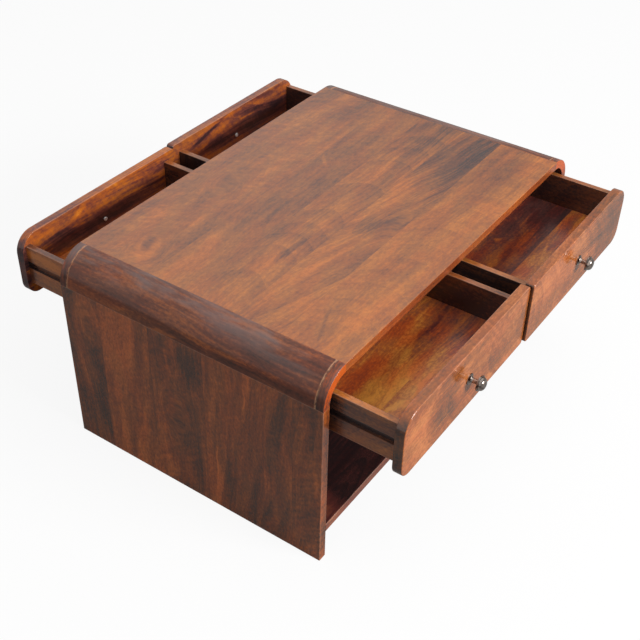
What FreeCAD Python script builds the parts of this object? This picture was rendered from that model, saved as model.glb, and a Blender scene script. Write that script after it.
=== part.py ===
"""Coffee table with rounded upper corners, an open lower shelf and four side-hung drawers.

Sizes are in millimetres. The origin is on the floor under the table's centre, +X runs along the
length and +Z is up. The front drawers open towards -Y and the rear ones towards +Y. Every drawer
is drawn standing open by its own opening, as the table is shown.
"""
import math
import os

import FreeCAD
import Part

Vector = FreeCAD.Vector

# Case: top, rounded corners and end panels
table_length = 900.0
table_depth = 576.0
table_height = 418.0
case_board = 18.0
corner_radius = 60.0
cap_depth = 17.0
edge_round = 1.5
joint_chamfer = 0.6

# Lower shelf
shelf_board = 18.0
shelf_underside = 62.0

# Spine along the table's middle, and the divider on either side of it
partition_board = 18.0
partition_height = 110.0
partition_front_gap = 8.0

# Drawer fronts, which close flush inside the case
front_board = 18.0
front_height = 130.0
front_gap = 3.0
front_lower_radius = 26.0
front_inner_radius = 7.0
front_face_round = 2.0
front_back_round = 0.8
left_opening = 135.0
right_opening = 140.0

# Drawer boxes
box_board = 12.0
side_height = 82.0
side_drop = 20.0
side_gap = 12.0
side_top_round = 1.0
housing_depth = 6.0
bottom_thickness = 6.0
bottom_rise = 10.0
bottom_groove_depth = 5.0
bottom_end_gap = 0.5
stop_gap = 0.5

# Wooden runners, which enter a groove in each drawer side
runner_height = 14.4
runner_clearance = 0.3
runner_rise = 34.0
runner_groove_depth = 6.0
runner_end_gap = 0.5

# Turned metal knobs
knob_projection = 29.5
knob_head_diameter = 29.0
knob_head_depth = 11.0
knob_rim_width = 2.4
knob_rim_ledge = 2.2
knob_rim_rise = 0.4
knob_back_slope = 1.0
knob_face_diameter = 11.0
knob_stem_diameter = 9.0
knob_neck_radius = 3.0
knob_rose_diameter = 21.0
knob_rose_edge = 1.5

# Screw that holds a knob through its drawer front
knob_screw_diameter = 4.0
knob_screw_bite = 9.0
knob_screw_head_diameter = 8.5
knob_screw_head_height = 2.6
cross_slot_width = 1.1
cross_slot_depth = 1.2

# Countersunk screws of the runners
runner_screw_diameter = 3.5
runner_screw_head_diameter = 7.0

# Wooden dowels of the case, and the pins of the drawer boxes
dowel_diameter = 8.0
dowel_length = 30.0
dowel_end_gap = 0.5
pin_diameter = 2.0
pin_length = 30.0

# Fit of round fasteners in their holes, extra length of a cut, and the match of edges to planes
fastener_fit = 0.1
overrun = 1.0
plane_match = 0.01

# Places and depths as shares of the pieces that carry them
dowel_bite_share = 0.62
screw_bite_share = 0.4
dome_bulge_share = 0.2
quarter_turn_shares = (0.0, 0.5, 1.0)
cap_dowel_angle_shares = (0.3, 0.7)
corner_dowel_shares = (-0.85, -0.5, -0.17, 0.17, 0.5, 0.85)
shelf_dowel_shares = (-0.8, -0.4, 0.0, 0.4, 0.8)
spine_top_dowel_shares = (-0.8, -0.35, 0.35, 0.8)
spine_end_dowel_shares = (0.25, 0.75)
divider_top_dowel_shares = (0.3, 0.8)
front_divider_dowel_shares = (0.2, 0.65)
rear_divider_dowel_shares = (0.4, 0.85)
runner_screw_shares = (0.2, 0.6, 0.95)
bottom_pin_shares = (0.15, 0.5, 0.85)

# Places worked out for the case
half_length = table_length / 2
half_depth = table_depth / 2
inner_x = half_length - case_board
joint_x = half_length - corner_radius
spring_height = table_height - corner_radius
top_underside = table_height - case_board
inner_radius = corner_radius - case_board
block_end = half_depth - cap_depth
shelf_top = shelf_underside + shelf_board
half_partition = partition_board / 2
partition_bottom = top_underside - partition_height
partition_end = half_depth - front_board - partition_front_gap

# Places worked out for the front left drawer when it is closed
face_y = -half_depth
front_back_y = face_y + front_board
front_outer_x = -inner_x + front_gap
front_inner_x = -front_gap / 2
front_top = top_underside - front_gap
front_bottom = front_top - front_height
rear_y = -(half_partition + stop_gap)
side_top = front_top - side_drop
side_bottom = side_top - side_height
outer_side_x = -inner_x + side_gap
inner_side_x = -half_partition - side_gap
box_left = outer_side_x + box_board
box_right = inner_side_x - box_board
bottom_low = side_bottom + bottom_rise
bottom_high = bottom_low + bottom_thickness
groove_low = side_bottom + runner_rise
groove_high = groove_low + runner_height + 2 * runner_clearance
runner_low = groove_low + runner_clearance
runner_reach = side_gap + runner_groove_depth - runner_end_gap
runner_middle = runner_low + runner_height / 2
pin_y = rear_y - box_board / 2
knob_x = (front_outer_x + front_inner_x) / 2
knob_z = (front_top + front_bottom) / 2

# Directions, and the point that the mirror planes pass through
RIGHT = Vector(1, 0, 0)
BACKWARD = Vector(0, 1, 0)
UP = Vector(0, 0, 1)
CENTRE = Vector(0, 0, 0)

parts = {}


def block(low, high):
    """Board between two opposite corners."""
    size = high - low
    return Part.makeBox(size.x, size.y, size.z, low)


def rod(diameter, start, axis, length):
    """Round rod that starts at a point and runs along an axis."""
    return Part.makeCylinder(diameter / 2, length, start, axis)


def edges_on(shape, **planes):
    """Edges of a shape that lie on every one of the given planes, such as Y=0."""
    found = []
    for edge in shape.Edges:
        bounds = edge.BoundBox
        spans = {"X": (bounds.XMin, bounds.XMax), "Y": (bounds.YMin, bounds.YMax),
                 "Z": (bounds.ZMin, bounds.ZMax)}
        if all(abs(end - place) < plane_match for name, place in planes.items() for end in spans[name]):
            found.append(edge)
    return found


def round_edges(shape, radius, places):
    """Shape with the edges on each of the given sets of planes rounded."""
    chosen = [edge for planes in places for edge in edges_on(shape, **planes)]
    return shape.makeFillet(radius, chosen)


def cut_all(shape, cutters):
    """Shape with every cutter taken out of it."""
    return shape.cut(Part.makeCompound(list(cutters)))


def across_x(shape):
    """Mirror image on the other side of the table's length."""
    return shape.mirror(CENTRE, RIGHT)


def across_y(shape):
    """Mirror image on the other side of the table's depth."""
    return shape.mirror(CENTRE, BACKWARD)


def revolved(outline, base, axis):
    """Solid turned from an outline of edges about an axis."""
    return Part.Face(Part.Wire(outline)).revolve(base, axis, 360)


# Dowels

def dowel_bite(board):
    """Depth of a dowel in the face of a board."""
    return dowel_bite_share * board


def dowels(places):
    """Dowels that cross joints: each place is a point on the joint, an axis and the bitten board."""
    return [rod(dowel_diameter, point - axis * dowel_bite(board), axis, dowel_length)
            for point, axis, board in places]


def dowel_holes(places):
    """Holes for the dowels at the same places."""
    diameter = dowel_diameter + 2 * fastener_fit
    length = dowel_length + 2 * dowel_end_gap
    return [rod(diameter, point - axis * (dowel_bite(board) + dowel_end_gap), axis, length)
            for point, axis, board in places]


def corner_dowel_places():
    """Dowels from the right corner block into the top and into the end panel."""
    places = []
    for share in corner_dowel_shares:
        y = share * block_end
        places.append((Vector(joint_x, y, table_height - case_board / 2), -RIGHT, case_board))
        places.append((Vector(half_length - case_board / 2, y, spring_height), -UP, case_board))
    return places


def cap_dowel_places():
    """Dowels from the right corner's front cap into its block."""
    middle_radius = corner_radius - case_board / 2
    return [(ring_point(middle_radius, share, -block_end), BACKWARD, cap_depth)
            for share in cap_dowel_angle_shares]


def shelf_dowel_places():
    """Dowels from the right end panel into the shelf."""
    return [(Vector(inner_x, share * half_depth, shelf_underside + shelf_board / 2), -RIGHT, case_board)
            for share in shelf_dowel_shares]


def spine_end_dowel_places():
    """Dowels from the right end panel into the spine."""
    return [(Vector(inner_x, 0, partition_bottom + share * (spring_height - partition_bottom)), -RIGHT,
             case_board) for share in spine_end_dowel_shares]


def spine_top_dowel_places():
    """Dowels from the top into the spine."""
    return [(Vector(share * joint_x, 0, top_underside), -UP, case_board) for share in spine_top_dowel_shares]


def divider_top_dowel_places():
    """Dowels from the top into both dividers."""
    run = partition_end - half_partition
    return [(Vector(0, side * (half_partition + share * run), top_underside), -UP, case_board)
            for side in (-1, 1) for share in divider_top_dowel_shares]


def divider_end_dowel_places():
    """Dowels from the spine into both dividers, at heights that miss each other."""
    places = []
    for side, shares in ((-1, front_divider_dowel_shares), (1, rear_divider_dowel_shares)):
        for share in shares:
            height = partition_bottom + share * partition_height
            places.append((Vector(0, side * half_partition, height), BACKWARD * side, partition_board))
    return places


def both_ends(shapes):
    """Shapes of the right-hand end with their mirror images at the left-hand end."""
    shapes = list(shapes)
    return shapes + [across_x(shape) for shape in shapes]


def four_corners(shapes):
    """Shapes of the front right corner with their mirror images at the other three."""
    pair = both_ends(shapes)
    return pair + [across_y(shape) for shape in pair]


# Case

def ring_point(radius, turn_share, y):
    """Point on the right corner's curve, from the end panel at 0 to the top at 1."""
    angle = turn_share * math.pi / 2
    return Vector(joint_x + radius * math.cos(angle), y, spring_height + radius * math.sin(angle))


def corner_piece(low_y, high_y):
    """Quarter ring of the right corner between two depths."""
    outer = Part.Arc(*[ring_point(corner_radius, turn, low_y) for turn in quarter_turn_shares]).toShape()
    inner = Part.Arc(*[ring_point(inner_radius, 1 - turn, low_y) for turn in quarter_turn_shares]).toShape()
    across_top = Part.LineSegment(outer.lastVertex().Point, inner.firstVertex().Point).toShape()
    across_side = Part.LineSegment(inner.lastVertex().Point, outer.firstVertex().Point).toShape()
    section = Part.Face(Part.Wire([outer, across_top, inner, across_side]))
    return section.extrude(BACKWARD * (high_y - low_y))


def curved_edges(shape, y):
    """Curved edges of a corner piece at one depth."""
    return [edge for edge in edges_on(shape, Y=y) if isinstance(edge.Curve, Part.Circle)]


def outer_curve(shape, y):
    """The larger of a corner piece's curved edges at one depth."""
    return max(curved_edges(shape, y), key=lambda edge: edge.Length)


def corner_block():
    """Right corner block, eased where it meets the caps."""
    ring = corner_piece(-block_end, block_end)
    ends = [outer_curve(ring, -block_end), outer_curve(ring, block_end)]
    eased = ring.makeChamfer(joint_chamfer, ends)
    holes = dowel_holes(corner_dowel_places())
    cap_holes = dowel_holes(cap_dowel_places())
    return cut_all(eased, holes + cap_holes + [across_y(hole) for hole in cap_holes])


def corner_cap():
    """Cap that closes the front of the right corner block."""
    ring = corner_piece(face_y, -block_end)
    rounded = ring.makeFillet(edge_round, curved_edges(ring, face_y))
    return cut_all(rounded, dowel_holes(cap_dowel_places()))


def top_panel():
    """Flat top between the corner blocks."""
    panel = block(Vector(-joint_x, -half_depth, top_underside), Vector(joint_x, half_depth, table_height))
    long_edges = [{"Y": y, "Z": z} for y in (-half_depth, half_depth) for z in (top_underside, table_height)]
    holes = both_ends(dowel_holes(corner_dowel_places()))
    holes += dowel_holes(spine_top_dowel_places()) + dowel_holes(divider_top_dowel_places())
    return cut_all(round_edges(panel, edge_round, long_edges), holes)


def side_panel():
    """Right end panel, which stands on the floor."""
    panel = block(Vector(inner_x, -half_depth, 0), Vector(half_length, half_depth, spring_height))
    upright_edges = [{"X": x, "Y": y} for x in (inner_x, half_length) for y in (-half_depth, half_depth)]
    places = corner_dowel_places() + shelf_dowel_places() + spine_end_dowel_places()
    screws = [across_x(hole) for hole in outer_runner_screw_holes()]
    holes = dowel_holes(places) + screws + [across_y(hole) for hole in screws]
    return cut_all(round_edges(panel, edge_round, upright_edges), holes)


def lower_shelf():
    """Shelf between the end panels, flush with the table's front and rear."""
    panel = block(Vector(-inner_x, -half_depth, shelf_underside), Vector(inner_x, half_depth, shelf_top))
    long_edges = [{"Y": y, "Z": z} for y in (-half_depth, half_depth) for z in (shelf_underside, shelf_top)]
    return cut_all(round_edges(panel, edge_round, long_edges), both_ends(dowel_holes(shelf_dowel_places())))


def centre_spine():
    """Upright board along the table's middle that stops all drawers, clipped to clear the corners."""
    outline = [(-inner_x, partition_bottom), (inner_x, partition_bottom), (inner_x, spring_height),
               (joint_x, top_underside), (-joint_x, top_underside), (-inner_x, spring_height)]
    corners = [Vector(x, -half_partition, z) for x, z in outline]
    board = Part.Face(Part.makePolygon(corners + corners[:1])).extrude(BACKWARD * partition_board)
    holes = both_ends(dowel_holes(spine_end_dowel_places()))
    holes += dowel_holes(spine_top_dowel_places()) + dowel_holes(divider_end_dowel_places())
    return cut_all(board, holes)


def divider(side):
    """Upright board between the two drawers of the front, side -1, or of the rear, side 1."""
    near, far = sorted((side * half_partition, side * partition_end))
    board = block(Vector(-half_partition, near, partition_bottom), Vector(half_partition, far, top_underside))
    screws = both_ends(inner_runner_screw_holes())
    if side > 0:
        screws = [across_y(hole) for hole in screws]
    places = divider_top_dowel_places() + divider_end_dowel_places()
    return cut_all(board, dowel_holes(places) + screws)


# Runners of the front left drawer

def runner_screw_points(x):
    """Centres of a runner's screw heads on its face at one X."""
    run = partition_end - half_partition
    return [Vector(x, -(half_partition + share * run), runner_middle) for share in runner_screw_shares]


def countersunk(head, axis, diameter, head_diameter, length):
    """Countersunk screw whose head is flush at a point and whose shank runs along an axis."""
    cone_depth = (head_diameter - diameter) / 2
    cone = Part.makeCone(head_diameter / 2, diameter / 2, cone_depth, head, axis)
    return cone.fuse(rod(diameter, head, axis, length)).removeSplitter()


def runner_screw_set(x, axis, board):
    """Screws of one runner, into the board that carries it."""
    length = runner_reach + screw_bite_share * board
    return [countersunk(head, axis, runner_screw_diameter, runner_screw_head_diameter, length)
            for head in runner_screw_points(x)]


def runner_screw_hole_set(x, axis, board):
    """Holes for the screws of one runner, in the runner and in the board that carries it."""
    length = runner_reach + screw_bite_share * board + fastener_fit
    return [countersunk(head, axis, runner_screw_diameter + 2 * fastener_fit,
                        runner_screw_head_diameter + 2 * fastener_fit, length)
            for head in runner_screw_points(x)]


def outer_runner_screw_holes():
    """Holes for the runner on the left end panel."""
    return runner_screw_hole_set(-inner_x + runner_reach, -RIGHT, case_board)


def inner_runner_screw_holes():
    """Holes for the runner on the front divider."""
    return runner_screw_hole_set(-half_partition - runner_reach, RIGHT, partition_board)


def runner(low_x, holes):
    """Runner that reaches from its board into a drawer side's groove."""
    low = Vector(low_x, -partition_end, runner_low)
    high = Vector(low_x + runner_reach, -half_partition, runner_low + runner_height)
    return cut_all(block(low, high), holes)


# Front left drawer, closed

def drawer_front():
    """Front with a large radius at its outer corners, housed for the sides and the bottom."""
    low = Vector(front_outer_x, face_y, front_bottom)
    high = Vector(front_inner_x, front_back_y, front_top)
    board = block(low, high)
    board = round_edges(board, inner_radius - front_gap, [{"X": front_outer_x, "Z": front_top}])
    board = round_edges(board, front_lower_radius, [{"X": front_outer_x, "Z": front_bottom}])
    inner_corners = [{"X": front_inner_x, "Z": z} for z in (front_bottom, front_top)]
    board = round_edges(board, front_inner_radius, inner_corners)
    board = round_edges(board, front_face_round, [{"Y": face_y}])
    board = round_edges(board, front_back_round, [{"Y": front_back_y}])
    housing_y = front_back_y - housing_depth
    housings = [block(Vector(x, housing_y, side_bottom), Vector(x + box_board, front_back_y + overrun, side_top))
                for x in (outer_side_x, box_right)]
    bottom_groove = block(Vector(box_left, front_back_y - bottom_groove_depth, bottom_low),
                          Vector(box_right, front_back_y + overrun, bottom_high))
    hole_diameter = knob_screw_diameter + 2 * fastener_fit
    screw_hole = rod(hole_diameter, Vector(knob_x, face_y - overrun, knob_z), BACKWARD,
                     front_board + 2 * overrun)
    return cut_all(board, housings + [bottom_groove, screw_hole])


def drawer_side(outer_x, inward):
    """Side with a runner groove outside and a bottom groove inside; inward is the way to the box."""
    inner_face = outer_x + inward * box_board
    near, far = sorted((outer_x, inner_face))
    board = block(Vector(near, front_back_y - housing_depth, side_bottom), Vector(far, rear_y, side_top))
    board = round_edges(board, side_top_round, [{"X": x, "Z": side_top} for x in (near, far)])
    near, far = sorted((outer_x - inward * overrun, outer_x + inward * runner_groove_depth))
    runner_groove = block(Vector(near, front_back_y, groove_low), Vector(far, rear_y + overrun, groove_high))
    near, far = sorted((inner_face + inward * overrun, inner_face - inward * bottom_groove_depth))
    bottom_groove = block(Vector(near, front_back_y - housing_depth - overrun, bottom_low),
                          Vector(far, rear_y + overrun, bottom_high))
    return cut_all(board, [runner_groove, bottom_groove] + drawer_pins(fastener_fit))


def drawer_back():
    """Back between the sides, standing on the bottom."""
    board = block(Vector(box_left, rear_y - box_board, bottom_high), Vector(box_right, rear_y, side_top))
    return cut_all(board, drawer_pins(fastener_fit))


def drawer_bottom():
    """Bottom panel held in the grooves of the front and the sides, under the back."""
    tongue = bottom_groove_depth - bottom_end_gap
    panel = block(Vector(box_left - tongue, front_back_y - tongue, bottom_low),
                  Vector(box_right + tongue, rear_y, bottom_high))
    return cut_all(panel, drawer_pins(fastener_fit))


def drawer_pins(fit=0.0):
    """Pins through the sides and the bottom into the back, or their holes with a fit."""
    diameter = pin_diameter + 2 * fit
    length = pin_length + fit
    heights = ((bottom_high + groove_low) / 2, (groove_high + side_top) / 2)
    pins = []
    for z in heights:
        pins.append(rod(diameter, Vector(outer_side_x, pin_y, z), RIGHT, length))
        pins.append(rod(diameter, Vector(inner_side_x, pin_y, z), -RIGHT, length))
    for share in bottom_pin_shares:
        x = box_left + share * (box_right - box_left)
        pins.append(rod(diameter, Vector(x, pin_y, bottom_low), UP, length))
    return pins


def knob_point(radius, outward):
    """Point of the knob's half section, by its radius and its distance from the drawer front."""
    return Vector(knob_x + radius, face_y - outward, knob_z)


def knob_line(start, end):
    """Straight stretch of the knob's half section between two (radius, outward) places."""
    return Part.LineSegment(knob_point(*start), knob_point(*end)).toShape()


def knob_hollow(centre, radius, start_angle, end_angle):
    """Round stretch of the knob's half section about a (radius, outward) centre."""
    angles = (start_angle, (start_angle + end_angle) / 2, end_angle)
    points = [knob_point(centre[0] + radius * math.cos(angle), centre[1] + radius * math.sin(angle))
              for angle in angles]
    return Part.Arc(*points).toShape()


def knob():
    """Turned knob: flared rose, slim stem and a flat rimmed head with a dome inside the rim."""
    rose = knob_rose_diameter / 2
    stem = knob_stem_diameter / 2
    head = knob_head_diameter / 2
    face = knob_face_diameter / 2
    flare = rose - stem
    flare_end = knob_rose_edge + flare
    head_back = knob_projection - knob_head_depth
    neck_start = head_back - knob_back_slope - knob_neck_radius
    neck_end = (stem + knob_neck_radius, neck_start + knob_neck_radius)
    rim_end = head_back + knob_rim_width
    dome_start = (head - knob_rim_ledge, rim_end + knob_rim_rise)
    dome_end = (face, knob_projection)
    chord = Vector(dome_end[0] - dome_start[0], dome_end[1] - dome_start[1], 0)
    bulge = Vector(chord.y, -chord.x, 0) * dome_bulge_share
    dome_middle = (dome_start[0] + chord.x / 2 + bulge.x, dome_start[1] + chord.y / 2 + bulge.y)
    dome = Part.Arc(knob_point(*dome_start), knob_point(*dome_middle), knob_point(*dome_end)).toShape()
    outline = [
        knob_line((0, 0), (rose, 0)),
        knob_line((rose, 0), (rose, knob_rose_edge)),
        knob_hollow((rose, flare_end), flare, -math.pi / 2, -math.pi),
        knob_line((stem, flare_end), (stem, neck_start)),
        knob_hollow((neck_end[0], neck_start), knob_neck_radius, math.pi, math.pi / 2),
        knob_line(neck_end, (head, head_back)),
        knob_line((head, head_back), (head, rim_end)),
        knob_line((head, rim_end), dome_start),
        dome,
        knob_line(dome_end, (0, knob_projection)),
        knob_line((0, knob_projection), (0, 0)),
    ]
    turned = revolved(outline, knob_point(0, 0), BACKWARD)
    hole = rod(knob_screw_diameter + 2 * fastener_fit, Vector(knob_x, face_y + overrun, knob_z), -BACKWARD,
               knob_screw_bite + fastener_fit + overrun)
    return turned.cut(hole)


def knob_screw():
    """Cross-slotted screw from inside the drawer, through the front and into the knob."""
    seat = Vector(knob_x, front_back_y, knob_z)
    head = rod(knob_screw_head_diameter, seat, BACKWARD, knob_screw_head_height)
    dome_edge = edges_on(head, Y=front_back_y + knob_screw_head_height)
    head = head.makeFillet(knob_screw_head_height / 2, dome_edge)
    screw = head.fuse(rod(knob_screw_diameter, seat, -BACKWARD, front_board + knob_screw_bite))
    slot_y = front_back_y + knob_screw_head_height - cross_slot_depth
    half_slot = cross_slot_width / 2
    half_cross = knob_screw_diameter / 2
    slots = []
    for half_x, half_z in ((half_cross, half_slot), (half_slot, half_cross)):
        low = Vector(knob_x - half_x, slot_y, knob_z - half_z)
        high = Vector(knob_x + half_x, front_back_y + knob_screw_head_height + overrun, knob_z + half_z)
        slots.append(block(low, high))
    return cut_all(screw.removeSplitter(), slots)


def drawer_pieces():
    """All pieces of the front left drawer, by the end of their names."""
    return {
        "front": drawer_front(),
        "outer_side": drawer_side(outer_side_x, 1),
        "inner_side": drawer_side(inner_side_x, -1),
        "back": drawer_back(),
        "bottom": drawer_bottom(),
        "knob": knob(),
        "knob_screw": knob_screw(),
        "pins": Part.makeCompound(drawer_pins()),
    }


# The whole table

def add_case():
    """Top, corners, end panels, shelf, partitions and their dowels."""
    parts["top_panel"] = top_panel()
    parts["lower_shelf"] = lower_shelf()
    parts["centre_spine"] = centre_spine()
    parts["front_divider"] = divider(-1)
    parts["rear_divider"] = divider(1)
    for name, piece in (("corner_block", corner_block()), ("side_panel", side_panel())):
        parts[name + "_right"] = piece
        parts[name + "_left"] = across_x(piece)
    cap = corner_cap()
    parts["corner_cap_front_right"] = cap
    parts["corner_cap_front_left"] = across_x(cap)
    parts["corner_cap_rear_right"] = across_y(cap)
    parts["corner_cap_rear_left"] = across_x(across_y(cap))
    partition_dowels = both_ends(dowels(spine_end_dowel_places())) + dowels(spine_top_dowel_places())
    partition_dowels += dowels(divider_top_dowel_places()) + dowels(divider_end_dowel_places())
    parts["corner_dowels"] = Part.makeCompound(both_ends(dowels(corner_dowel_places())))
    parts["cap_dowels"] = Part.makeCompound(four_corners(dowels(cap_dowel_places())))
    parts["shelf_dowels"] = Part.makeCompound(both_ends(dowels(shelf_dowel_places())))
    parts["partition_dowels"] = Part.makeCompound(partition_dowels)


def in_bay(shape, depth_name, end_name):
    """Piece of the front left bay, mirrored into another bay."""
    if end_name == "right":
        shape = across_x(shape)
    if depth_name == "rear":
        shape = across_y(shape)
    return shape


def add_drawers_and_runners():
    """The four drawers, each moved out by its opening, and the runners that carry them."""
    pieces = drawer_pieces()
    outer_face = -inner_x + runner_reach
    inner_face = -half_partition - runner_reach
    runners = {
        "outer": runner(-inner_x, outer_runner_screw_holes()),
        "inner": runner(inner_face, inner_runner_screw_holes()),
    }
    screws = runner_screw_set(outer_face, -RIGHT, case_board)
    screws += runner_screw_set(inner_face, RIGHT, partition_board)
    parts["runner_screws"] = Part.makeCompound(four_corners(screws))
    for depth_name, outward in (("front", -BACKWARD), ("rear", BACKWARD)):
        for end_name, opening in (("left", left_opening), ("right", right_opening)):
            bay = depth_name + "_" + end_name
            for name, shape in runners.items():
                parts[bay + "_" + name + "_runner"] = in_bay(shape, depth_name, end_name)
            for name, shape in pieces.items():
                closed = in_bay(shape, depth_name, end_name)
                parts[bay + "_drawer_" + name] = closed.translated(outward * opening)


add_case()
add_drawers_and_runners()
os.makedirs("parts", exist_ok=True)
for node_name, node_shape in parts.items():
    node_shape.exportStep("parts/" + node_name + ".step")
print(len(parts), "nodes")
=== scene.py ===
"""Looks of the coffee table: lacquered figured wood, dark metal knobs and a plain white studio.

Lengths are in metres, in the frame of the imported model: +X along the table, +Z up, front towards -Y.
Colours are sRGB, from 0 to 255.
"""
import math
import random
from dataclasses import dataclass
from functools import reduce

import bpy
from mathutils import Matrix, Vector


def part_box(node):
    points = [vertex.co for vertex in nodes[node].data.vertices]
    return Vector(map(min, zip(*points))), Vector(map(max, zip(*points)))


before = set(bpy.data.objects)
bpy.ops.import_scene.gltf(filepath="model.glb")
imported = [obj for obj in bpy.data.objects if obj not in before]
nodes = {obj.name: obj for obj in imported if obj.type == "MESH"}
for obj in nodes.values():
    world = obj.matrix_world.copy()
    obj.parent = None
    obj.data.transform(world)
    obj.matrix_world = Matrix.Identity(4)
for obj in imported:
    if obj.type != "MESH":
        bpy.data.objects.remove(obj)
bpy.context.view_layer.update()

# Camera, at the photograph's viewing angle
CAMERA_AZIMUTH = -56.15
CAMERA_ELEVATION = 38.25
CAMERA_ROLL = 1.36
CAMERA_TARGET = (-0.0809, -0.0296, 0.1885)
CAMERA_DISTANCE = 2.1251
CAMERA_LENS = 59.906
CAMERA_SENSOR = 36.0

# Studio: floor and world, which show the camera another colour and glow than they light the table with
FLOOR_SIDE = 24.0
FLOOR_DROP = 0.0005
FLOOR_ROUGHNESS = 0.9
FLOOR_COLOUR = (124, 123, 121)
FLOOR_SEEN_COLOUR = (232, 232, 232)
FLOOR_GLOW = 0.90
WORLD_COLOUR = (255, 255, 255)
AMBIENT_STRENGTH = 0.45
WHITE_STRENGTH = 1.0

# Studio: glow in reflections, as two places along an axis and the share of the glow at each
FLOOR_SHEEN = (-0.28, -0.42, 0.10, 0.20)
WORLD_SHEEN = (0.70, 0.84, 1.0, 0.15)

# Studio: soft lights
LIGHTS = (
    # name, place, aim, width, height, power
    ("key", (0.33, -5.28, 3.12), (0.0, 0.0, 0.3), 3.0, 1.4, 390.0),
    ("overhead", (0.0, -0.8, 3.0), (0.0, 0.0, 0.3), 2.4, 2.0, 18.0),
)

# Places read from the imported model
top_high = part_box("top_panel")[1]
block_low, block_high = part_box("corner_block_right")
JOINT_X = top_high.x
SPRING_HEIGHT = block_low.z
BLOCK_END = block_high.y
CORNER_RADIUS = block_high.x - JOINT_X

AXES = "XYZ"


def linear(colour):
    """Linear red, green, blue and alpha of an sRGB colour given in 0 to 255."""
    shares = [channel / 255 for channel in colour]
    return [s / 12.92 if s <= 0.04045 else ((s + 0.055) / 1.055) ** 2.4 for s in shares] + [1.0]


class Value:
    """Number that a node gives, with sums and products that add Math nodes."""

    def __init__(self, tree, socket):
        self.tree = tree
        self.socket = socket

    def __add__(self, other):
        return self.tree.math("ADD", self, other)

    def __sub__(self, other):
        return self.tree.math("SUBTRACT", self, other)

    def __rsub__(self, other):
        return self.tree.math("SUBTRACT", other, self)

    def __mul__(self, other):
        return self.tree.math("MULTIPLY", self, other)

    def __truediv__(self, other):
        return self.tree.math("DIVIDE", self, other)

    __radd__ = __add__
    __rmul__ = __mul__


class Tree:
    """Node tree of one material, with short calls for the nodes that the finishes use."""

    def __init__(self, name):
        self.material = bpy.data.materials.new(name)
        self.material.use_nodes = True
        self.tree = self.material.node_tree
        self.shader = self.tree.nodes["Principled BSDF"]
        surface = self.node("TexCoord").outputs
        self.at = self.split(surface["Object"])
        self.normal = self.split(surface["Normal"])

    def split(self, vector):
        """The three numbers of a vector, by axis."""
        parts = self.node("SeparateXYZ", {0: vector}).outputs
        return {axis: Value(self, parts[axis]) for axis in AXES}

    def feed(self, socket, value):
        """Links a node's output to a socket, or sets the socket's own value."""
        if isinstance(value, Value):
            value = value.socket
        if isinstance(value, bpy.types.NodeSocket):
            self.tree.links.new(value, socket)
        else:
            socket.default_value = value

    def node(self, kind, feeds=(), **settings):
        """New node with its settings, and its inputs fed by name or number."""
        made = self.tree.nodes.new("ShaderNode" + kind)
        for name, value in settings.items():
            setattr(made, name, value)
        for key, value in dict(feeds).items():
            self.feed(made.inputs[key], value)
        return made

    def math(self, operation, *values):
        """Result of a Math node."""
        return Value(self, self.node("Math", enumerate(values), operation=operation).outputs[0])

    def length(self, *values):
        """Root of the sum of the squares."""
        return self.math("SQRT", reduce(lambda total, square: total + square, [v * v for v in values]))

    def vector(self, x, y, z):
        """Vector of three numbers."""
        return self.node("CombineXYZ", {0: x, 1: y, 2: z}).outputs[0]

    def noise(self, vector, detail=2.0, roughness=0.5):
        """Noise about zero, one cell long at each unit of the vector."""
        feeds = {"Vector": vector, "Scale": 1.0, "Detail": detail, "Roughness": roughness}
        return Value(self, self.node("TexNoise", feeds).outputs[0]) - 0.5

    def figure(self, place, cell, shift):
        """Noise about zero in the cells of one part of the figure."""
        along, across, depth = place
        length, width, detail, roughness = cell
        vector = self.vector(along / length + shift, across / width, depth / width)
        return self.noise(vector, detail, roughness)

    def between(self, value, start, end, low=0.0, high=1.0):
        """Smooth step of a value from start to end, as low to high."""
        feeds = {0: value, 1: start, 2: end, 3: low, 4: high}
        return Value(self, self.node("MapRange", feeds, interpolation_type="SMOOTHSTEP").outputs[0])

    def mix(self, share, first, second, blend="MIX"):
        """Colour between two colours."""
        made = self.node("Mix", {0: share, 6: first, 7: second}, data_type="RGBA", blend_type=blend)
        return made.outputs[2]

    def ramp(self, value, colours):
        """Colour from a row of evenly spaced colours, by a value from 0 to 1."""
        made = self.node("ValToRGB", {0: value})
        stops = made.color_ramp.elements
        for index in range(1, len(colours) - 1):
            stops.new(index / (len(colours) - 1))
        for stop, colour in zip(stops, colours):
            stop.color = linear(colour)
        return made.outputs[0]

    def finish(self, colour, roughness, height, depth, **constants):
        """Feeds the shader with a colour, a roughness and a height that is depth metres deep."""
        bump = self.node("Bump", {"Strength": 1.0, "Distance": depth, "Height": height})
        self.feed(self.shader.inputs["Base Color"], colour)
        self.feed(self.shader.inputs["Roughness"], roughness)
        self.feed(self.shader.inputs["Normal"], bump.outputs[0])
        for name, value in constants.items():
            self.shader.inputs[name.replace("_", " ")].default_value = value
        return self.material


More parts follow.
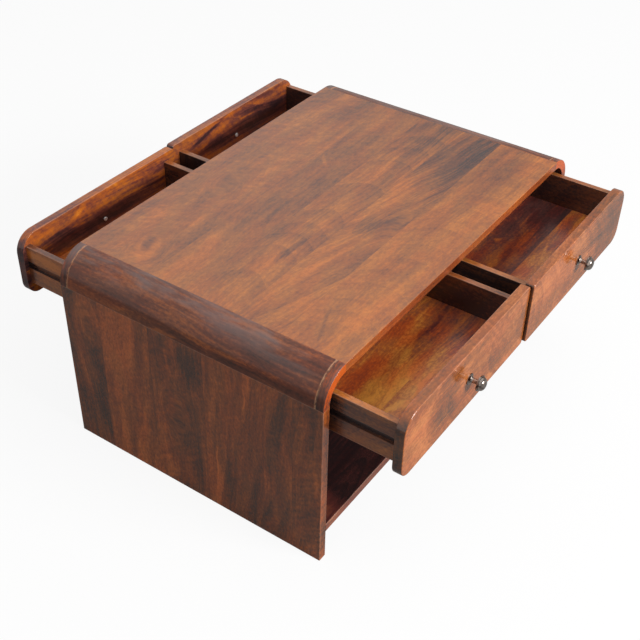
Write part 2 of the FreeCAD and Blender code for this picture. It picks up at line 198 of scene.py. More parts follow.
# Wood: colours from dark to light
CHESTNUT = ((54, 40, 39), (104, 62, 41), (150, 88, 42), (192, 114, 46))
RUSSET = ((44, 29, 24), (84, 48, 30), (136, 71, 32), (190, 101, 42))
COPPER = ((52, 36, 30), (104, 60, 32), (150, 82, 34), (200, 118, 58))
AMBER = ((58, 38, 40), (108, 60, 51), (184, 103, 36), (236, 158, 60))
HONEY = ((58, 43, 44), (110, 65, 58), (184, 103, 50), (236, 160, 68))
MAROON = ((38, 26, 27), (84, 42, 38), (130, 72, 48), (176, 112, 74))
CAP = ((40, 30, 29), (72, 45, 37), (108, 62, 46), (190, 86, 30))
UMBER = ((40, 30, 29), (72, 45, 37), (104, 60, 44), (150, 86, 50))
BARE = ((150, 110, 70), (175, 135, 90), (195, 155, 105), (210, 175, 125))
# pale arrises: partly wear, partly a painted highlight of the lights on the rounded edges
WEAR_AND_HIGHLIGHT = (198, 150, 124)
CREAM = (212, 162, 124)
# painted sheen: the sky's pale reflection on the top of the rounded corners
PAINTED_SHEEN = (118, 104, 102)
FLUSH = (255, 200, 200)

# Wood: cells of each part of the figure, by length along the fibres, width across them, detail and roughness
BEND_CELL = (0.26, 0.12, 1.0, 0.5)
BLOTCH_CELL = (0.30, 0.045, 3.0, 0.55)
MOTTLE_CELL = (0.075, 0.013, 4.0, 0.6)
STREAK_CELL = (0.13, 0.0060, 4.0, 0.6)
FLECK_CELL = (0.0075, 0.0042, 3.0, 0.6)
CURL_CELL = (0.012, 0.040, 2.0, 0.5)
FIBRE_CELL = (0.016, 0.0007, 1.0, 0.5)
MARK_CELL = (0.07, 0.025, 3.0, 0.6)
RUB_CELL = (0.030, 0.012, 3.0, 0.65)
FLUSH_CELL = (0.090, 0.035, 2.0, 0.5)

# Wood: growth rings, with the reach of each board's seeded differences
RING_WIDTH = 0.0085
RING_LENGTH = 0.7
RING_DETAIL = 4.0
RING_ROUGHNESS = 0.6
RING_DRIFT = 3.0
RING_DRIFT_DETAIL = 1.0
RING_START = 0.15
PITH_ACROSS = 0.04
PITH_DEPTH = 0.06
PITH_TILT = 0.16
FIBRE_SLOPE = 0.05
FIGURE_SHIFT = 40.0
BEND_REACH = 0.05

# Wood: middle of the lightness, curls, knots and marks
MIDDLE_TONE = 0.5
CURL_SHARE = 0.15
CURL_SKEW = 0.6
KNOT_RINGS = 4.0
MARK_WARP = 0.05
MARK_WARP_ACROSS = MARK_WARP / 2
MARK_FRINGE = 0.9
MARK_RIM, MARK_CORE = 1.0, 0.2

# Wood: glue lines, stain and painted shade on faces, grooves, arrises that are worn and carry a painted
# highlight, red clouds, relief and sheen
SEAM_WIDTH = 0.0012
SEAM_DARKENING = 0.08
FACE_START, FACE_END = 0.5, 1.0
GROOVE_LIP = 0.0006
GROOVE_MIDDLE = 0.3365
GROOVE_HALF = 0.0080
GROOVE_END = 0.009
PORE_START, PORE_END = 0.16, 0.24
PORE_DARKENING = 0.08
WEAR_REACH = 0.0022
RUB_REACH = 2 * WEAR_REACH
WEAR_AND_HIGHLIGHT_SHARE = 0.25
WEAR_ROUGHNESS = 0.15
STREAK_ROUGHNESS = 0.12
STREAK_RELIEF = 0.6
FIBRE_RELIEF = 0.4
GRAIN_DEPTH = 0.00004
FLUSH_START, FLUSH_END = -0.10, 0.12
LACQUER_IOR = 1.6


@dataclass
class Wood:
    """Figure and colours of a panel: one board, or several glued side by side.

    Its grain names the axis along the fibres and the axis across the boards, and its edges are the glue
    lines. Tones, slopes, lines, curls and piths have a number for each board. A pith is how far the middle
    of the rings lies from the middle of the board. A mark or a knot is its place along and across, half
    length, half width, turn and change of lightness. A mark face names the one face that has the marks.
    Each face pairs a direction with a change of lightness, by stain on some faces and painted shade on
    others, and a groove pairs the face that it is sunk in with its own change. Wear names the axes across the
    pale arrises, which are worn and carry a painted highlight.
    """

    grain: str
    seed: int
    colours: tuple = CHESTNUT
    edges: tuple = ()
    tones: tuple = (0.0,)
    slopes: tuple = ()
    lines: tuple = ()
    curls: tuple = ()
    piths: tuple = ()
    marks: tuple = ()
    mark_face: str = ""
    knots: tuple = ()
    faces: tuple = ()
    groove: tuple = ()
    rings: float = 0.30
    ring_width: float = RING_WIDTH
    growth: float = 0.09
    blotches: float = 0.75
    mottles: float = 0.30
    streaks: float = 0.35
    flecks: float = 0.75
    flush: float = 0.25
    edge_flush: float = 0.0
    gloss: float = 0.22
    ior: float = LACQUER_IOR
    wear: str = ""


class Boards:
    """Boards glued side by side in a panel, with numbers that change from one to the next."""

    def __init__(self, tree, wood, across, sides):
        self.edges = wood.edges
        self.count = len(wood.edges) + 1
        self.bounds = (sides[0], *wood.edges, sides[1])
        self.steps = [tree.math("GREATER_THAN", across, edge) for edge in wood.edges]

    def value(self, values):
        """Number that changes at the glue lines."""
        total = values[0]
        for step, before, after in zip(self.steps, values, values[1:]):
            if after != before:
                total = total + step * (after - before)
        return total

    def middles(self):
        """Middle of each board, across the panel."""
        return self.value([(low + high) / 2 for low, high in zip(self.bounds, self.bounds[1:])])

    def draws(self, draw, reach):
        """A seeded number for each board, up to reach either way."""
        return self.value([draw.uniform(-reach, reach) for _ in range(self.count)])

    def own(self, values, draw, reach):
        """The wood's own number for each board or, where it has none, a seeded one."""
        return self.value(values) if values else self.draws(draw, reach)

    def given(self, values, default):
        """The wood's own number for each board, or one default for all."""
        return self.value(values or (default,) * self.count)

    def only(self, across):
        """One on the board that holds a place across the panel, and zero on the others."""
        index = sum(edge < across for edge in self.edges)
        return self.value([float(number == index) for number in range(self.count)])


def rim_share(tree, spot, shape):
    """Distance from the middle of a mark, which is one at its rim."""
    along, across, half_length, half_width, turn = shape
    feeds = {"Vector": spot, "Location": (along, across, 0.0), "Rotation": (0.0, 0.0, math.radians(turn)),
             "Scale": (half_length, half_width, 1.0)}
    local = tree.node("Mapping", feeds, vector_type="TEXTURE").outputs[0]
    return Value(tree, tree.node("VectorMath", {0: local}, operation="LENGTH").outputs["Value"])


def mark_spot(tree, wood, place):
    """Place on the panel, shaken so that marks and knots have uneven rims."""
    along, across, _ = place
    warp = tree.figure(place, MARK_CELL, wood.seed)
    return tree.vector(along + warp * MARK_WARP, across + warp * MARK_WARP_ACROSS, 0.0)


def wood_knots(tree, wood, across, spot, boards):
    """Pull of the fibres round the knots, and the knots' own rings about zero."""
    pull, rings = 0.0, 0.0
    for *shape, change in wood.knots:
        rim = rim_share(tree, spot, shape)
        near = tree.between(rim, 1.0, 0.0) * boards.only(shape[1])
        pull = pull + (across - shape[1]) * near
        rings = rings + tree.noise(tree.vector(rim * KNOT_RINGS, shape[0], shape[1])) * near * change
    return pull, rings


def growth_rings(tree, radius, along, shift):
    """Growth rings about zero: uneven bands, and the thin line where each ring ends.

    The radius is counted in rings.
    """
    number = radius + shift
    bands = tree.noise(tree.vector(number, along / RING_LENGTH, 0.0), RING_DETAIL, RING_ROUGHNESS)
    place = tree.vector(number / RING_DRIFT, along / RING_LENGTH, RING_DRIFT)
    drift = tree.noise(place, RING_DRIFT_DETAIL)
    share = tree.math("FRACT", number + drift * RING_DRIFT)
    return bands, 0.5 - tree.between(share, RING_START, 1.0)


def facing(tree, direction):
    """One on a face turned in a direction such as -Y, and zero on the faces beside it."""
    along = tree.normal[direction[-1]] * (-1.0 if direction[0] == "-" else 1.0)
    return tree.between(along, FACE_START, FACE_END)


def wood_marks(tree, wood, spot, streak, boards):
    """Change of lightness in the marks, whose rims fray along the streaks."""
    total = 0.0
    marked = facing(tree, wood.mark_face) if wood.mark_face else 1.0
    for *shape, change in wood.marks:
        rim = rim_share(tree, spot, shape) + streak * MARK_FRINGE
        total = total + tree.between(rim, MARK_RIM, MARK_CORE) * boards.only(shape[1]) * marked * change
    return total


def glue_lines(tree, wood, across):
    """Darkening of the glue lines between the boards."""
    total = 0.0
    for edge in wood.edges:
        off = tree.math("ABSOLUTE", across - edge)
        total = total + tree.between(off, SEAM_WIDTH, 0.0) * SEAM_DARKENING
    return total


def wood_figure(tree, wood, place, boards):
    """Lightness of the wood about a half, and its streaks and fibres about zero."""
    along, across, depth = place
    draw = random.Random(wood.seed)
    middle = boards.middles() + boards.own(wood.piths, draw, PITH_ACROSS)
    pith = boards.draws(draw, PITH_DEPTH)
    tilt = boards.draws(draw, PITH_TILT)
    shift = boards.draws(draw, FIGURE_SHIFT)
    slope = boards.own(wood.slopes, draw, FIBRE_SLOPE)
    spot = mark_spot(tree, wood, place)
    pull, knots = wood_knots(tree, wood, across, spot, boards)
    wavy = across + tree.figure(place, BEND_CELL, shift) * BEND_REACH + along * slope - pull
    radius = tree.length(wavy - middle, depth - pith + along * tilt)
    bands, growth = growth_rings(tree, radius / wood.ring_width, along, shift)
    grown = (along, wavy, depth)
    cells = (BLOTCH_CELL, STREAK_CELL, MOTTLE_CELL, FLECK_CELL, FIBRE_CELL)
    blotch, streak, mottle, fleck, fibre = [tree.figure(grown, cell, shift) for cell in cells]
    curl = tree.figure((along + across * CURL_SKEW, across, depth), CURL_CELL, shift)
    lines = bands * wood.rings + streak * wood.streaks + growth * wood.growth
    lightness = (MIDDLE_TONE + boards.value(wood.tones) + lines * boards.given(wood.lines, 1.0) + knots
                 + blotch * wood.blotches + mottle * wood.mottles + fleck * wood.flecks
                 + curl * boards.given(wood.curls, CURL_SHARE))
    marks = wood_marks(tree, wood, spot, streak, boards)
    return lightness + marks - glue_lines(tree, wood, across), streak, fibre


def face_stain_and_shade(tree, wood, lightness):
    """Lightness changed on whole faces: by stain, such as on end grain, and by painted shade, such as inside
    the drawers and in the gaps between them.
    """
    for direction, change in wood.faces:
        lightness = lightness + facing(tree, direction) * change
    return lightness


def groove_shade(tree, wood, box, lightness):
    """Lightness with a runner groove, which is darker than the face that it is sunk in."""
    direction, change = wood.groove
    at = tree.at[direction[-1]]
    index = AXES.index(direction[-1])
    depth = at - box[0][index] if direction[0] == "-" else box[1][index] - at
    sunk = tree.between(depth, 0.0, GROOVE_LIP) * tree.between(depth, GROOVE_END, GROOVE_END - GROOVE_LIP)
    off = tree.math("ABSOLUTE", tree.at["Z"] - GROOVE_MIDDLE)
    return lightness + sunk * tree.between(off, GROOVE_HALF + GROOVE_LIP, GROOVE_HALF) * change


def edge_wear_and_highlight(tree, wood, place, box):
    """Share from 0 to 1 of the pale coat along the arrises, which is partly wear and partly a painted
    highlight; the arrises lie near two faces of the board's box.
    """
    low, high = box
    depths = []
    for axis in wood.wear:
        index = AXES.index(axis)
        depths.append(tree.math("MINIMUM", tree.at[axis] - low[index], high[index] - tree.at[axis]))
    near = tree.math("MAXIMUM", depths[0], depths[1])
    if len(depths) == 3:
        nearer = tree.math("MINIMUM", depths[0], depths[1])
        near = tree.math("MAXIMUM", nearer, tree.math("MINIMUM", near, depths[2]))
    rub = tree.figure(place, RUB_CELL, wood.seed)
    return tree.between(near - rub * RUB_REACH, WEAR_REACH, 0.0)


def board_place(tree, wood):
    """Coordinates along the fibres, across the boards and through them."""
    along, across = wood.grain
    through = next(axis for axis in AXES if axis not in wood.grain)
    return tree.at[along], tree.at[across], tree.at[through]


def wood_material(name, wood, box):
    """Lacquered wood whose figure runs through the whole board."""
    tree = Tree(name)
    place = board_place(tree, wood)
    index = AXES.index(wood.grain[1])
    boards = Boards(tree, wood, place[1], (box[0][index], box[1][index]))
    lightness, streak, fibre = wood_figure(tree, wood, place, boards)
    lightness = face_stain_and_shade(tree, wood, lightness)
    if wood.groove:
        lightness = groove_shade(tree, wood, box, lightness)
    figure = (lightness, streak, fibre)
    if not wood.wear:
        return lacquer(tree, wood, place, figure)
    # the pale coat on the arrises is partly wear and partly a painted highlight
    wear = edge_wear_and_highlight(tree, wood, place, box) * WEAR_AND_HIGHLIGHT_SHARE
    return lacquer(tree, wood, place, figure, [(wear, WEAR_AND_HIGHLIGHT)], wear * WEAR_ROUGHNESS)


def lacquer(tree, wood, place, figure, coats=(), dull=0.0):
    """Colour, sheen and fine relief of lacquered wood.

    The coats lie thinly over it, as pairs of a share and a colour, and dull is added to its roughness.
    """
    lightness, streak, fibre = figure
    pores = tree.between(fibre, PORE_START, PORE_END)
    colour = tree.ramp(lightness - pores * PORE_DARKENING, wood.colours)
    cloud = tree.between(tree.figure(place, FLUSH_CELL, wood.seed), FLUSH_START, FLUSH_END)
    edge = tree.between(tree.math("ABSOLUTE", tree.normal["Y"]), FACE_START, FACE_END)
    colour = tree.mix(cloud * wood.flush + edge * wood.edge_flush, colour, linear(FLUSH), "MULTIPLY")
    for share, coat in coats:
        colour = tree.mix(share, colour, linear(coat))
    roughness = wood.gloss + streak * STREAK_ROUGHNESS + dull
    height = streak * STREAK_RELIEF + fibre * FIBRE_RELIEF - pores
    return tree.finish(colour, roughness, height, GRAIN_DEPTH, IOR=wood.ior)


def dress(node_names, material):
    """Gives CAD nodes a material on their own slots."""
    for name in node_names:
        for slot in nodes[name].material_slots:
            slot.material = material


def dress_board(name, wood):
    """Gives one CAD node wood of its own."""
    dress([name], wood_material(name + "_grain", wood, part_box(name)))


# Rounded corners, with a painted sheen clouding the top of the curve, and rubbed in places along the joint to
# their caps
CORNER_IOR = 1.38
CORNER_RISE = 0.08
JOINT_RUB_CELL = (0.02, 0.02, 3.0, 0.65)
JOINT_RUB_WIDTH = 0.0026
JOINT_RUB_START, JOINT_RUB_END = -0.14, 0.06
JOINT_RUB_SHARE = 0.75
JOINT_DULL_WIDTH = 0.004
JOINT_DULLNESS = 0.45
PAINTED_SHEEN_CELL = (0.16, 0.035, 3.0, 0.6)
PAINTED_SHEEN_START, PAINTED_SHEEN_END = -0.12, 0.10
PAINTED_SHEEN_RISE = 0.5
PAINTED_SHEEN_SHARE = 0.6


def corner_place(tree, wood):
    """Coordinates of the rounded corners: along the fibres, across them and out from the curve's axis."""
    outward = tree.math("ABSOLUTE", tree.at["X"]) - JOINT_X
    upward = tree.at["Z"] - SPRING_HEIGHT
    round_curve = tree.math("ARCTAN2", upward, outward) * CORNER_RADIUS
    radius = tree.length(outward, upward)
    if wood.grain[0] == "Y":
        return tree.at["Y"], round_curve, radius
    return round_curve, tree.at["Y"], radius


def corner_material(name, wood):
    """Wood of a rounded corner, lighter towards the top, with a painted sheen over the top of the curve and
    rubbed joints to its caps.
    """
    tree = Tree(name)
    place = corner_place(tree, wood)
    boards = Boards(tree, wood, place[1], (0.0, CORNER_RADIUS))
    lightness, streak, fibre = wood_figure(tree, wood, place, boards)
    height = (tree.at["Z"] - SPRING_HEIGHT) / (top_high.z - SPRING_HEIGHT)
    lightness = face_stain_and_shade(tree, wood, lightness + tree.between(height, 0.0, 1.0) * CORNER_RISE)
    rub = tree.figure((tree.at["Z"], tree.at["X"], tree.at["Y"]), JOINT_RUB_CELL, wood.seed)
    off = tree.math("ABSOLUTE", tree.math("ABSOLUTE", tree.at["Y"]) - BLOCK_END)
    line = tree.between(off, JOINT_RUB_WIDTH, 0.0) * tree.between(rub, JOINT_RUB_START, JOINT_RUB_END)
    # painted sheen: a grey cloud on the upper half of the curved face, standing in for the sky's reflection
    cloud = tree.between(tree.figure(place, PAINTED_SHEEN_CELL, wood.seed), PAINTED_SHEEN_START, PAINTED_SHEEN_END)
    curved = tree.between(tree.math("ABSOLUTE", tree.normal["Y"]), FACE_END, FACE_START)
    cloud = cloud * tree.between(height, PAINTED_SHEEN_RISE, 1.0) * curved
    dull = tree.between(off, JOINT_DULL_WIDTH, 0.0) * JOINT_DULLNESS
    coats = [(cloud * PAINTED_SHEEN_SHARE, PAINTED_SHEEN), (line * JOINT_RUB_SHARE, CREAM)]
    return lacquer(tree, wood, place, (lightness, streak, fibre), coats, dull)


# Metal: turning marks and smudges, counted along a metre
TURNING_MARKS = 2600
TURNING_DEPTH = 0.00002
SMUDGES = 160
SMUDGE_DETAIL = 3.0
SMUDGE_START, SMUDGE_END = -0.15, 0.2
SMUDGE_ROUGHNESS = 0.2


@dataclass
class Metal:
    """Two colours, with smudges between them, and a finish."""

    colours: tuple
    roughness: float
    metallic: float = 1.0


PEWTER = Metal(((96, 88, 84), (172, 158, 148)), 0.18)
STEEL = Metal(((222, 220, 216), (246, 245, 242)), 0.4, 0.5)


def metal_material(name, metal, centre):
    """Turned metal with fine marks round its axis, which runs along Y, and smudges."""
    tree = Tree(name)
    x, y, z = tree.at["X"] - centre.x, tree.at["Y"], tree.at["Z"] - centre.z
    turning = tree.noise(tree.vector(tree.length(x, z) * TURNING_MARKS, y * TURNING_MARKS, 0.0))
    smudge = tree.noise(tree.vector(x * SMUDGES, y * SMUDGES, z * SMUDGES), SMUDGE_DETAIL)
    dark, light = (linear(colour) for colour in metal.colours)
    shade = tree.mix(tree.between(smudge, SMUDGE_START, SMUDGE_END), dark, light)
    roughness = metal.roughness + smudge * SMUDGE_ROUGHNESS
    return tree.finish(shade, roughness, turning, TURNING_DEPTH, Metallic=metal.metallic)


def centre_of(name):
    """Middle of a CAD node's box."""
    low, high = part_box(name)
    return (low + high) / 2


# Case: its boards, with the marks and knots of those that show
TOP_IOR = 1.66
TOP_WOOD = Wood(
    "XY", 3, edges=(-0.160, -0.068, 0.029, 0.124), tones=(0.225, 0.15, 0.11, 0.10, 0.115),
    slopes=(0.05, 0.18, 0.02, -0.03, 0.03), lines=(0.8, 1.5, 1.3, 0.7, 0.7), curls=(0.2, 0.15, 0.1, 0.2, 0.4),
    rings=0.28, blotches=0.7, streaks=0.44, flecks=0.6, edge_flush=0.5,
    faces=(("-Y", -0.10), ("+Y", -0.10)), ior=TOP_IOR,
    knots=(
        (0.005, -0.140, 0.110, 0.050, 0, 0.4),
        (-0.322, 0.183, 0.085, 0.050, 25, 0.45),
        (-0.080, 0.200, 0.090, 0.060, 20, 0.5),
    ),
    marks=(
        (-0.180, -0.034, 0.075, 0.014, 0, -0.30),
        (-0.030, -0.122, 0.055, 0.040, -30, -0.16),
        (0.250, -0.152, 0.210, 0.034, 2, -0.22),
        (0.300, -0.112, 0.250, 0.120, 0, -0.32),
        (-0.260, -0.115, 0.140, 0.050, -8, 0.10),
        (0.220, -0.040, 0.300, 0.036, 0, -0.16),
        (0.330, 0.000, 0.170, 0.060, 0, -0.22),
        (0.352, -0.090, 0.030, 0.018, 0, -0.08),
        (0.070, -0.092, 0.080, 0.026, 0, 0.12),
        (-0.324, 0.184, 0.036, 0.016, 20, -0.36),
        (-0.360, 0.162, 0.070, 0.034, 20, 0.18),
        (-0.262, 0.108, 0.080, 0.014, 0, 0.16),
        (0.109, 0.097, 0.030, 0.006, 40, 0.24),
        (0.022, 0.055, 0.050, 0.018, 0, -0.10),
        (0.055, 0.085, 0.240, 0.120, 0, -0.11),
        (0.340, 0.205, 0.120, 0.100, 0, -0.08),
        (0.320, 0.085, 0.080, 0.050, 0, 0.10),
        (0.260, -0.215, 0.200, 0.080, 4, -0.18),
        (-0.330, -0.205, 0.080, 0.005, 22, -0.17),
    ))
END_WOOD = Wood(
    "ZY", 11, colours=RUSSET, edges=(-0.228, -0.039, 0.081, 0.201), tones=(0.09, 0.10, 0.04, 0.24, 0.02),
    slopes=(0.02, 0.0, -0.03, 0.02, -0.02), lines=(0.8, 1.0, 0.9, 0.8, 0.9), curls=(0.5, 0.2, 0.4, 0.3, 0.3),
    piths=(0.20, -0.30, 0.10, 0.24, -0.20), rings=0.6, ring_width=0.018, growth=0.10, blotches=1.05,
    streaks=0.45, wear="XYZ", faces=(("-Y", 0.06), ("+Y", 0.06)),
    knots=(
        (0.184, 0.024, 0.090, 0.055, 10, 0.8),
        (0.292, 0.232, 0.070, 0.040, 0, 0.8),
        (0.300, 0.040, 0.050, 0.030, 8, 0.8),
    ),
    marks=(
        (0.310, -0.010, 0.065, 0.032, 0, -0.34),
        (0.150, 0.020, 0.050, 0.030, 10, -0.08),
        (0.300, 0.040, 0.040, 0.006, 8, 0.28),
        (0.310, 0.235, 0.090, 0.050, 0, 0.30),
        (0.080, 0.240, 0.110, 0.050, 0, -0.20),
        (0.300, 0.140, 0.120, 0.070, 0, 0.10),
        (0.110, -0.063, 0.090, 0.0025, 0, 0.36),
        (0.300, -0.126, 0.040, 0.003, 0, 0.30),
        (0.130, -0.170, 0.060, 0.004, 0, 0.24),
        (0.100, 0.048, 0.060, 0.020, 0, -0.10),
        (0.080, -0.255, 0.100, 0.030, 0, -0.14),
        (0.280, -0.255, 0.100, 0.030, 0, 0.06),
        (0.190, -0.276, 0.050, 0.010, 0, 0.20),
        (0.050, -0.285, 0.070, 0.009, 0, -0.20),
        (0.310, -0.285, 0.050, 0.009, 0, -0.16),
    ))
# painted shade: the low tones paint the shade under the drawers, and the lighter front and back edges and the
# two corner marks paint the light that reaches there
SHELF_WOOD = Wood(
    "XY", 41, colours=MAROON, edges=(-0.18, -0.06, 0.05, 0.17), tones=(-0.46, -0.45, -0.43, -0.46, -0.45),
    blotches=0.4, mottles=0.15, streaks=0.2, flecks=0.25, faces=(("-Y", 0.48), ("+Y", 0.48)), wear="YZ",
    marks=((-0.408, -0.264, 0.058, 0.042, 0, 0.42), (0.408, 0.264, 0.058, 0.042, 0, 0.42)))
BLOCK_WOOD = Wood(
    "YZ", 21, colours=UMBER, tones=(0.12,), blotches=1.2, mottles=0.6, streaks=0.6, ior=CORNER_IOR,
    marks=(
        (-0.150, 0.010, 0.160, 0.012, 0, -0.12),
        (-0.160, 0.032, 0.180, 0.016, 0, -0.16),
        (0.045, 0.003, 0.055, 0.003, 0, 0.34),
        (0.180, 0.012, 0.100, 0.016, 0, 0.14),
        (-0.180, 0.048, 0.100, 0.012, 0, -0.16),
    ))
CAP_WOOD = Wood(
    "XY", 31, colours=CAP, tones=(0.0,), faces=(("-Y", 0.40), ("+Y", 0.40)), ior=CORNER_IOR,
    marks=((0.0, -0.28, 0.045, 0.080, 0, -0.20), (0.0, 0.28, 0.045, 0.080, 0, -0.20)))
SPINE_WOOD = Wood("XZ", 51, colours=UMBER)
DOWEL_WOOD = Wood("XY", 53, colours=BARE, gloss=0.6)
INNER_SEED = 110

# Drawers, and the first seed of each
DRAWERS = [depth + "_" + end for depth in ("front", "rear") for end in ("left", "right")]
DRAWER_SEED = 61
DRAWER_SEED_STEP = 10

# Drawer fronts: what all share, what the two of one side share, then tones, stain of the edges with painted
# shade on the inner ends, and marks
FRONT_WOOD = {"curls": (0.3,), "blotches": 0.9, "mottles": 0.2, "gloss": 0.13, "wear": "YZ"}
FRONT_PAIRS = {
    "front": {"colours": COPPER, "flecks": 0.7},
    "rear": {"colours": AMBER, "flecks": 0.4, "ior": 1.45, "mark_face": "-Y"},
}
FRONT_TONES = {"front_left": 0.20, "front_right": 0.27, "rear_left": 0.09, "rear_right": -0.02}
OUTER_ENDS = {"front_left": -0.55, "front_right": -0.50, "rear_left": -0.50, "rear_right": -0.50}
# inner ends: darker end grain, and painted shade in the gap between the fronts
INNER_END = -0.60
FRONT_TOPS = {"front_left": -0.04, "front_right": -0.06, "rear_left": -0.03, "rear_right": -0.02}
FRONT_MARKS = {
    "front_left": (
        (-0.295, 0.330, 0.060, 0.080, -15, -0.30), (-0.250, 0.285, 0.060, 0.030, 0, -0.16),
        (-0.120, 0.310, 0.060, 0.040, 0, -0.10), (-0.380, 0.330, 0.060, 0.080, 10, 0.16)),
    "front_right": (
        (0.360, 0.335, 0.150, 0.120, 0, -0.34), (0.060, 0.335, 0.090, 0.080, 10, 0.06),
        (0.410, 0.350, 0.030, 0.070, 0, -0.08)),
    # the long dark marks low on the rear fronts' inner faces, about 0.336 to 0.338 high, paint the shadow of
    # the top's rear edge
    "rear_left": (
        (-0.215, 0.336, 0.330, 0.028, 0, -0.46), (-0.430, 0.330, 0.022, 0.090, 0, -0.45),
        (-0.335, 0.354, 0.060, 0.012, -5, -0.30), (-0.280, 0.382, 0.040, 0.010, 25, 0.22),
        (-0.370, 0.380, 0.050, 0.012, 5, 0.14), (-0.040, 0.372, 0.030, 0.014, 0, -0.20),
        (-0.080, 0.372, 0.130, 0.050, 0, -0.20)),
    "rear_right": (
        (0.118, 0.379, 0.085, 0.007, 13, -0.40), (0.140, 0.338, 0.090, 0.018, 0, -0.40),
        (0.320, 0.338, 0.180, 0.040, 0, -0.50), (0.260, 0.374, 0.080, 0.012, -8, -0.24),
        (0.330, 0.392, 0.130, 0.014, 0, -0.14), (0.140, 0.364, 0.090, 0.014, 13, 0.20)),
}

# Drawer bottoms: what all share, their glue line, tones of the outer and the inner board, and marks
BOTTOM_WOOD = {"colours": HONEY, "rings": 0.4, "streaks": 0.4, "flush": 0.8, "gloss": 0.3}
BOTTOM_EDGE = 0.332
BOTTOM_TONES = {
    "front_left": (0.26, 0.18), "front_right": (0.24, -0.16),
    "rear_left": (0.1, 0.0), "rear_right": (0.1, 0.0),
}
# the dark marks at the right-hand ends of the front bottoms paint the shade of each drawer's right-hand wall
BOTTOM_MARKS = {
    "front_left": (
        (-0.300, -0.330, 0.110, 0.060, 0, 0.16), (-0.240, -0.353, 0.070, 0.007, 4, 0.26),
        (-0.330, -0.348, 0.060, 0.007, -25, 0.22), (-0.385, -0.320, 0.040, 0.008, 12, -0.24),
        (-0.160, -0.310, 0.070, 0.040, 20, -0.14), (-0.060, -0.320, 0.110, 0.100, 0, -0.19),
        (-0.200, -0.292, 0.080, 0.010, 12, 0.20), (-0.350, -0.300, 0.050, 0.009, -15, 0.18),
        (-0.340, -0.304, 0.090, 0.050, 0, 0.14),
        (-0.071, -0.317, 0.022, 0.012, 0, -0.14), (-0.050, -0.345, 0.120, 0.100, 0, -0.25)),
    "front_right": (
        (0.216, -0.257, 0.016, 0.012, 0, 0.30), (0.350, -0.320, 0.100, 0.080, 0, -0.24),
        (0.110, -0.345, 0.060, 0.005, -15, 0.20), (0.240, -0.350, 0.060, 0.005, 15, 0.20),
        (0.350, -0.350, 0.070, 0.020, 0, -0.20), (0.130, -0.290, 0.060, 0.010, 0, 0.12),
        (0.285, -0.350, 0.080, 0.040, 0, -0.18)),
}

# Drawer sides, and the change of lightness in their runner grooves
GROOVE_SHADE = -0.45


@dataclass
class Side:
    """Tone of a drawer side, changes on its faces to the outside, the inside and up, and its marks."""

    tone: float
    outside: float
    inside: float
    upper: float
    marks: tuple = ()


# painted shade: the faces inside the drawers and the faces towards the gap between the drawers are darkened,
# which leaves the tops lighter; the front left outer side's dark mark at its rear end is a painted shadow of
# the case
OUTER_SIDES = {
    "front_left": Side(0.18, -0.28, -0.30, 0.06, (
        (-0.350, 0.360, 0.200, 0.016, 0, -0.12),
        (-0.350, 0.303, 0.200, 0.022, 0, 0.16),
        (-0.290, 0.335, 0.040, 0.070, 0, -0.26))),
    "front_right": Side(0.12, -0.20, -0.45, 0.0),
    "rear_left": Side(0.02, 0.20, -0.30, -0.08, (
        (0.350, 0.362, 0.200, 0.014, 0, 0.22),
        (0.405, 0.330, 0.022, 0.070, 0, -0.34))),
    "rear_right": Side(0.10, 0.00, -0.60, 0.0),
}
INNER_SIDES = {
    "front_left": Side(0.02, -0.60, -0.45, 0.0),
    "front_right": Side(0.18, -0.70, -0.40, 0.04),
    "rear_left": Side(0.10, -0.70, -0.50, 0.0),
    "rear_right": Side(0.10, -0.80, -0.50, 0.0),
}


def dress_corner(name, wood):
    """Gives one piece of a rounded corner wood of its own."""
    dress([name], corner_material(name + "_grain", wood))


def dress_case():
    """Top, corners, end panels, shelf and the boards inside."""
    dress_board("top_panel", TOP_WOOD)
    for end in ("left", "right"):
        dress_board("side_panel_" + end, END_WOOD)
        dress_corner("corner_block_" + end, BLOCK_WOOD)
        for depth in ("front", "rear"):
            dress_corner("corner_cap_" + depth + "_" + end, CAP_WOOD)
    dress_board("lower_shelf", SHELF_WOOD)
    dress_board("centre_spine", SPINE_WOOD)
    inner = ["front_divider", "rear_divider"] + [name for name in nodes if name.endswith("_runner")]
    for index, name in enumerate(inner):
        dress_board(name, Wood("YZ", INNER_SEED + index, colours=UMBER))
    dowels = [name for name in nodes if name.endswith("_dowels")]
    dress(dowels, wood_material("dowels_grain", DOWEL_WOOD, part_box(dowels[0])))
    dress(["runner_screws"], metal_material("screw_steel", STEEL, Vector((0, 0, 0))))


def dress_side(name, side, faces, seed):
    """One side of a drawer, with a runner groove in its face to the outside."""
    out, back = faces
    # the changes on the faces paint the shade inside the drawer and in the gap between drawers
    face_stains_and_shades = ((out, side.outside), (back, side.inside), ("+Z", side.upper))
    wood = Wood("YZ", seed, tones=(side.tone,), faces=face_stains_and_shades, marks=side.marks, groove=(out, GROOVE_SHADE),
                wear="XZ")
    dress_board(name, wood)


